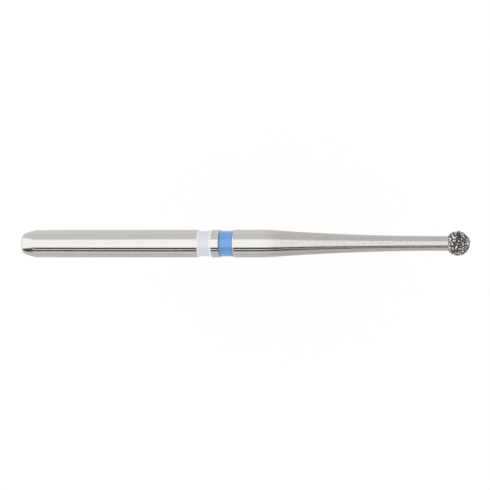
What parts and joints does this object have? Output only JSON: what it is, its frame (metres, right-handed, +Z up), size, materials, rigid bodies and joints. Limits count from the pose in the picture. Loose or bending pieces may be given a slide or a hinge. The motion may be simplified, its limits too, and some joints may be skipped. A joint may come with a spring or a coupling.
{
  "type": "dental bur",
  "caption": "Friction-grip dental bur: polished round shank with two lacquered bands, long tapering neck and a diamond-coated ball head.",
  "frame": {"origin": "centre of the shank's flat end face, on the bur's axis", "axes": "+X along the axis from the shank's end towards the ball head, +Z up as the bur lies flat; the bur is round about X"},
  "size_m": [0.026, 0.0016, 0.0016],
  "materials": {
    "steel": "hardened stainless steel, polished shank, finely ground neck",
    "white_lacquer": "glossy white lacquer",
    "blue_lacquer": "glossy blue lacquer",
    "diamond_grit": "grey diamond grit in a plated nickel bond"
  },
  "bodies": {
    "root": {"steel_blank": "steel", "white_ring": "white_lacquer", "blue_ring": "blue_lacquer", "diamond_coat": "diamond_grit"}
  },
  "joints": []
}
